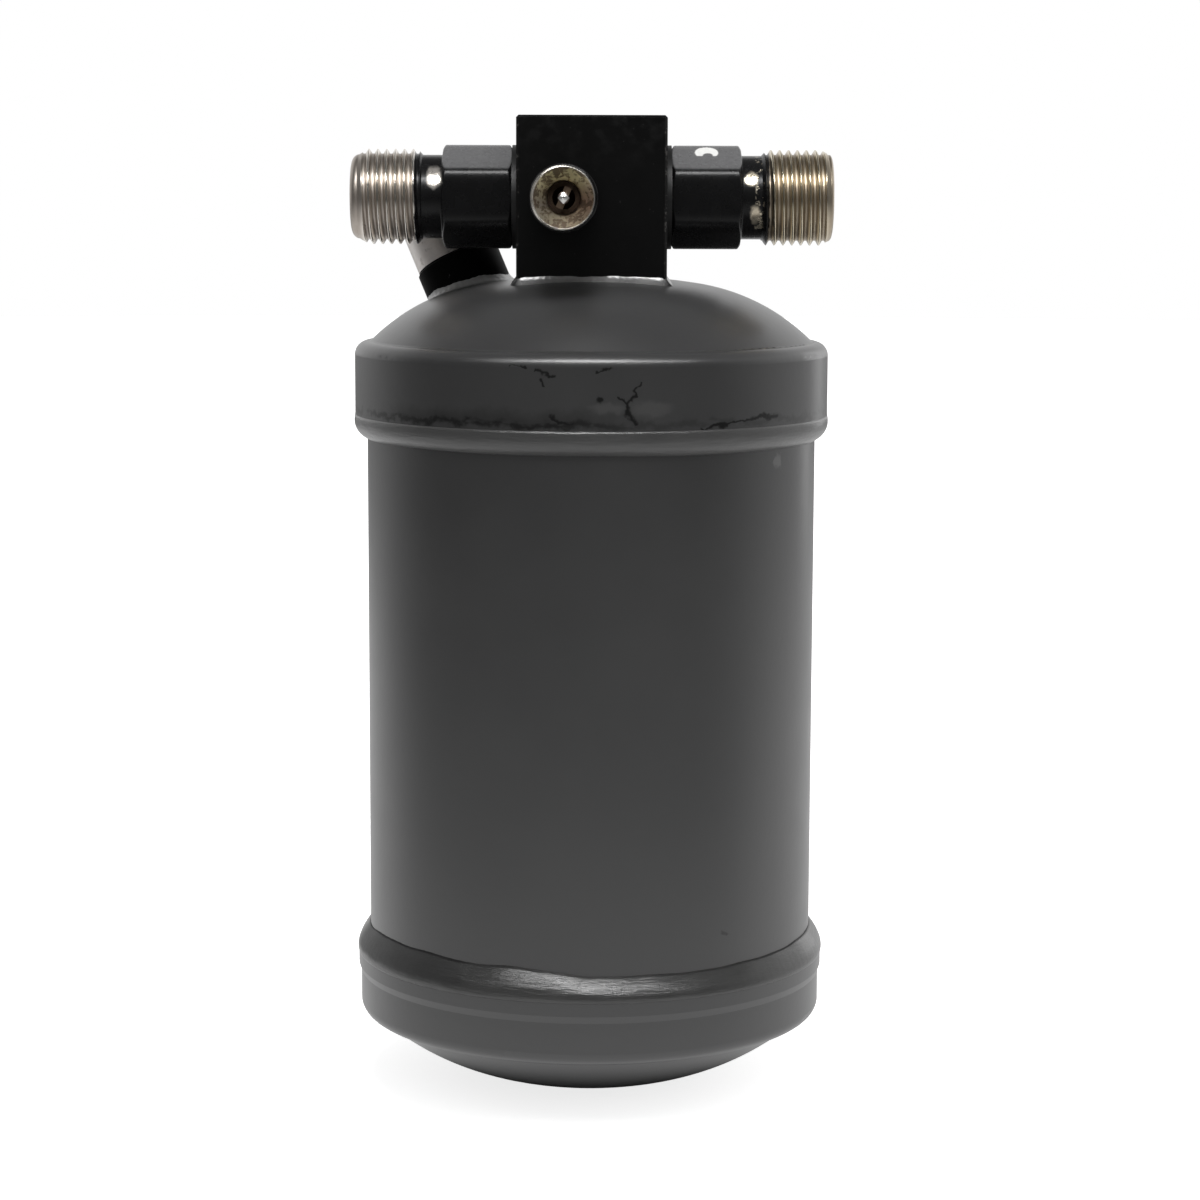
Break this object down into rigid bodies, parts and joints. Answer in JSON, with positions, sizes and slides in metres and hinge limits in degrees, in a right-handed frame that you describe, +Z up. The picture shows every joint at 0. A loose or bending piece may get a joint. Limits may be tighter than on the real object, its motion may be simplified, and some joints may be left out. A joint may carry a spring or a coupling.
{
  "type": "receiver drier",
  "caption": "Upright welded canister with domed ends, a ported head block with threaded side fittings, a service port and a tilted relief valve.",
  "frame": {"origin": "on the canister's axis, halfway along the bare barrel between the two weld beads, where a band clamp holds it", "axes": "+Z up the canister towards the head block, +X out of the outlet, -X out of the inlet, -Y out of the service port"},
  "size_m": [0.0812, 0.0808, 0.1651],
  "materials": {
    "canister_paint": "satin charcoal paint over steel",
    "block_paint": "satin black paint over steel",
    "fitting_steel": "plated steel, black paint on the hex and neck",
    "port_steel": "bare plated steel",
    "washer_seal": "black rubber-coated seal",
    "relief_steel": "dull plated steel",
    "core_brass": "tarnished brass",
    "pin_steel": "bright steel",
    "spring_steel": "spring steel",
    "seal_rubber": "black rubber",
    "inner_steel": "bare steel",
    "strainer_plastic": "natural nylon",
    "filter_felt": "pressed felt",
    "desiccant_beads": "packed molecular sieve beads"
  },
  "bodies": {
    "root": {"shell_tube": "canister_paint", "top_cap": "canister_paint", "bottom_cap": "canister_paint", "top_weld_bead": "canister_paint", "bottom_weld_bead": "canister_paint", "head_block": "block_paint", "head_block_weld": "block_paint", "relief_boss": "block_paint", "relief_boss_weld": "block_paint", "inlet_fitting": "fitting_steel", "outlet_fitting": "fitting_steel", "service_port_body": "port_steel", "inlet_washer": "washer_seal", "outlet_washer": "washer_seal", "relief_valve_body": "relief_steel", "relief_adjuster": "relief_steel", "valve_core_body": "core_brass", "valve_core_spring": "spring_steel", "relief_spring": "spring_steel", "hold_down_spring": "spring_steel", "valve_core_gasket": "seal_rubber", "relief_o_ring": "seal_rubber", "pickup_tube": "inner_steel", "lower_plate": "inner_steel", "upper_plate": "inner_steel", "pickup_strainer": "strainer_plastic", "lower_filter_pad": "filter_felt", "upper_filter_pad": "filter_felt", "desiccant_bed": "desiccant_beads"},
    "valve_core_pin": {"valve_core_pin": "pin_steel", "valve_core_seal": "seal_rubber"},
    "relief_poppet": {"relief_poppet": "relief_steel", "relief_seal_disc": "seal_rubber"}
  },
  "joints": [
    {"name": "core_pin_press", "type": "slide", "parent": "root", "child": "valve_core_pin", "axis": [0, 1, 0], "range_m": [0, 0.0015], "stiffness_N_per_m": 1500, "springref_m": -0.001, "deforming": ["valve_core_spring"]},
    {"name": "relief_poppet_lift", "type": "slide", "parent": "root", "child": "relief_poppet", "axis": [-0.385, 0.2406, 0.891], "range_m": [0, 0.001], "stiffness_N_per_m": 6000, "springref_m": -0.002, "deforming": ["relief_spring"]}
  ]
}
